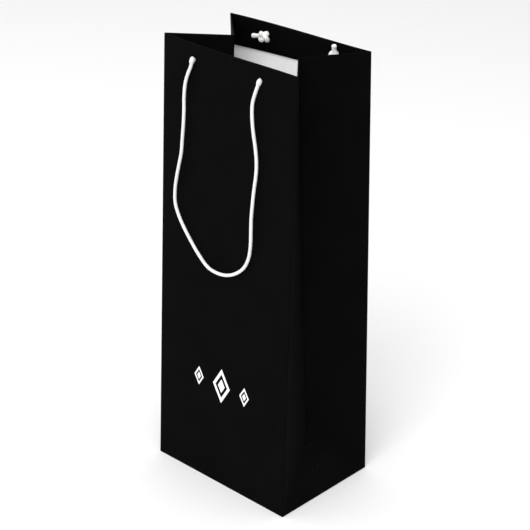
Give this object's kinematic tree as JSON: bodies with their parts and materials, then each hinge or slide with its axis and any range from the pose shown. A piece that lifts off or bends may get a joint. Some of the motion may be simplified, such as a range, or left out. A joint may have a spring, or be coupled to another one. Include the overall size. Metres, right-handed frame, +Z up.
{
  "type": "wine gift bag",
  "caption": "Tall gusseted paper bag for one wine bottle, with a turned-in top edge, stiff base board and two knotted rope handles.",
  "frame": {"origin": "centre of the bottom, on the surface the bag stands on", "axes": "+Z up, the front panel with the printed ornament faces -Y, +X to the right seen from the front"},
  "size_m": [0.14, 0.1, 0.3598],
  "materials": {
    "black_paper": "matte",
    "white_paper": "matte",
    "card": "matte",
    "rope": "satin",
    "white_ink": "satin"
  },
  "bodies": {
    "bag": {"bottom_front_flap": "black_paper", "bottom_back_flap": "black_paper", "bottom_left_flap": "black_paper", "bottom_right_flap": "black_paper", "base_board": "card", "gusset_right_front": "black_paper", "gusset_right_back": "black_paper", "gusset_left_front": "black_paper", "gusset_left_back": "black_paper", "gusset_hem_right_front": "black_paper", "gusset_hem_right_back": "black_paper", "gusset_hem_left_front": "black_paper", "gusset_hem_left_back": "black_paper"},
    "front_wall": {"front_panel": "black_paper", "front_card_strip": "card", "front_hem": "black_paper", "front_knot_left": "rope", "front_knot_right": "rope", "printed_ornament": "white_ink"},
    "back_wall": {"back_panel": "black_paper", "back_card_strip": "card", "back_hem": "black_paper", "back_knot_left": "rope", "back_knot_right": "rope", "glue_flap": "white_paper"},
    "front_handle": {"front_rope_handle": "rope"},
    "rear_handle": {"back_rope_handle": "rope"}
  },
  "joints": [
    {"name": "mouth_front", "type": "hinge", "parent": "bag", "child": "front_wall", "pos_m": [0, -0.05, 0], "axis": [-1, 0, 0], "range_deg": [-1.9, 4.1], "deforming": ["gusset_right_front", "gusset_left_front", "gusset_hem_right_front", "gusset_hem_left_front"]},
    {"name": "mouth_back", "type": "hinge", "parent": "bag", "child": "back_wall", "pos_m": [0, 0.05, 0], "axis": [1, 0, 0], "range_deg": [-1.9, 4.1], "deforming": ["gusset_right_back", "gusset_left_back", "gusset_hem_right_back", "gusset_hem_left_back"]},
    {"name": "front_handle_swing", "type": "hinge", "parent": "front_wall", "child": "front_handle", "pos_m": [0, -0.04081, 0.34789], "axis": [-1, 0, 0], "range_deg": [0, 178]},
    {"name": "rear_handle_swing", "type": "hinge", "parent": "back_wall", "child": "rear_handle", "pos_m": [0, 0.04081, 0.34789], "axis": [1, 0, 0], "range_deg": [0, 178]}
  ],
  "couplings": [
    {"joint": "mouth_back", "follows": "mouth_front", "ratio": 1}
  ]
}
